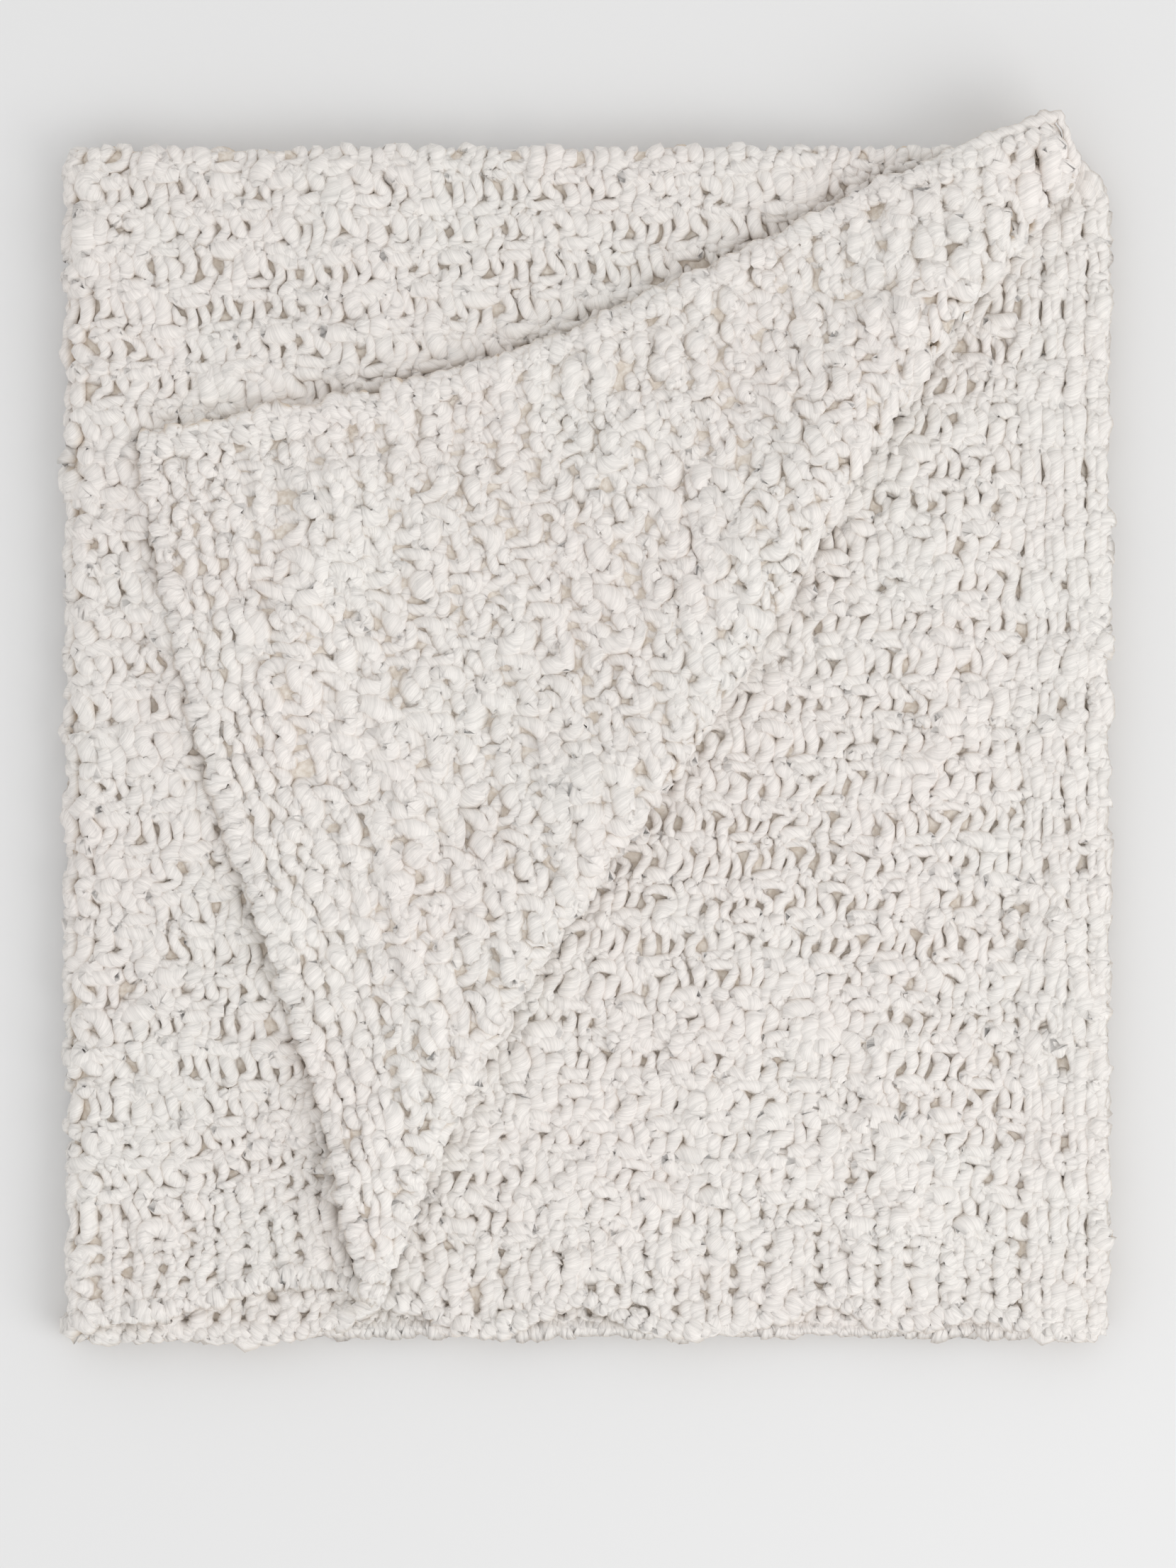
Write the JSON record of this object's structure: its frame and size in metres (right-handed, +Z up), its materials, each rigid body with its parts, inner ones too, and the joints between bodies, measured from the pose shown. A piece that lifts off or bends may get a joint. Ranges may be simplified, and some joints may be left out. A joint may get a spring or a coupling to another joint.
{
  "type": "cotton throw blanket",
  "caption": "Chunky knitted cotton throw, folded in four and lying flat, with the top layer's corner turned back to show the reverse of the knit.",
  "frame": {"origin": "the middle of the folded throw's outline, on the surface it lies on", "axes": "+Y along the folded throw's longer side, from the open hems towards the top fold; +X towards the open side; +Z up"},
  "size_m": [0.6503, 0.7662, 0.06],
  "materials": {
    "slub_cotton": "ivory slub cotton, chunky knit, matt"
  },
  "bodies": {
    "root": {"throw": "slub_cotton"}
  },
  "joints": []
}
